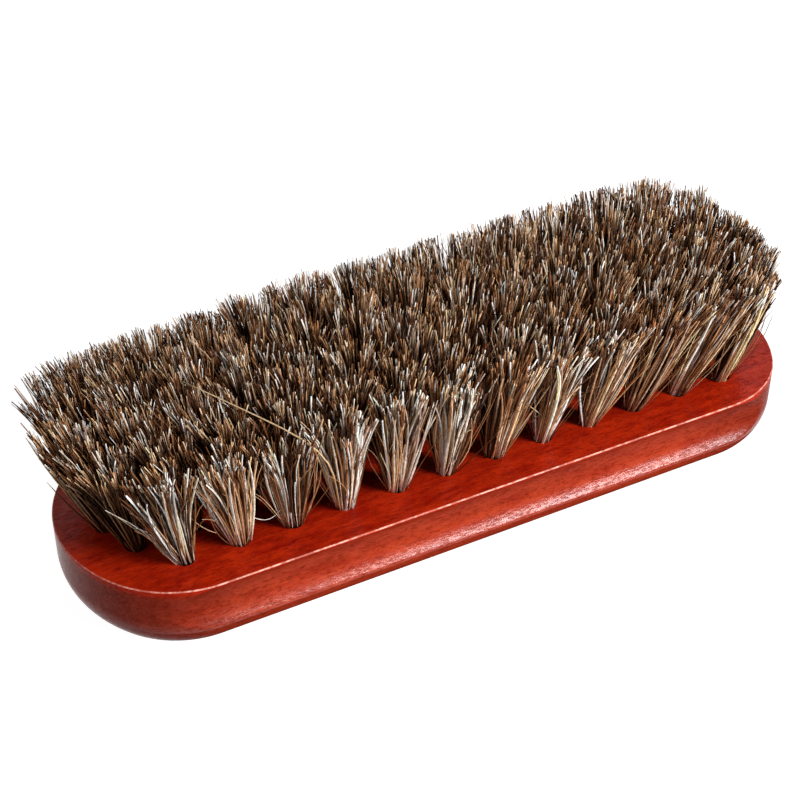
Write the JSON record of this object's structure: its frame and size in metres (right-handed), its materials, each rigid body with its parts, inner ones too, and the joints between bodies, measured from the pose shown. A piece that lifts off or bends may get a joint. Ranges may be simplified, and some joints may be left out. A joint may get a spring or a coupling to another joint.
{
  "type": "shoe shine brush",
  "caption": "Shoe shine brush: lacquered wooden block with finger grooves, drilled for staggered rows of springy hair tufts that fan out.",
  "frame": {"origin": "middle of the flat of the back, on the surface that the brush lies on", "axes": "+X along the length of the brush, +Z from the back towards the tips of the bristles"},
  "size_m": [0.1766, 0.0563, 0.0468],
  "materials": {
    "lacquered_wood": "gloss lacquer over a red-brown stain",
    "anchor_wire": "drawn flat wire",
    "hair": "mixed dark, brown and pale natural hair"
  },
  "bodies": {
    "root": {"block": "lacquered_wood", "anchors": "anchor_wire", "outer_tufts_1": "hair", "outer_tufts_2": "hair", "outer_tufts_3": "hair", "outer_tufts_4": "hair", "outer_tufts_5": "hair", "outer_tufts_6": "hair", "outer_tufts_7": "hair", "outer_tufts_8": "hair", "outer_tufts_9": "hair", "outer_tufts_10": "hair", "outer_tufts_11": "hair", "outer_tufts_12": "hair", "inner_tufts_1": "hair", "inner_tufts_2": "hair", "inner_tufts_3": "hair", "inner_tufts_4": "hair", "inner_tufts_5": "hair", "inner_tufts_6": "hair", "inner_tufts_7": "hair", "inner_tufts_8": "hair", "inner_tufts_9": "hair", "inner_tufts_10": "hair", "inner_tufts_11": "hair", "inner_tufts_12": "hair", "inner_tufts_13": "hair", "middle_tuft_1": "hair", "middle_tuft_2": "hair", "middle_tuft_3": "hair", "middle_tuft_4": "hair", "middle_tuft_5": "hair", "middle_tuft_6": "hair", "middle_tuft_7": "hair", "middle_tuft_8": "hair", "middle_tuft_9": "hair", "middle_tuft_10": "hair", "middle_tuft_11": "hair", "middle_tuft_12": "hair", "middle_tuft_13": "hair", "middle_tuft_14": "hair"}
  },
  "joints": []
}
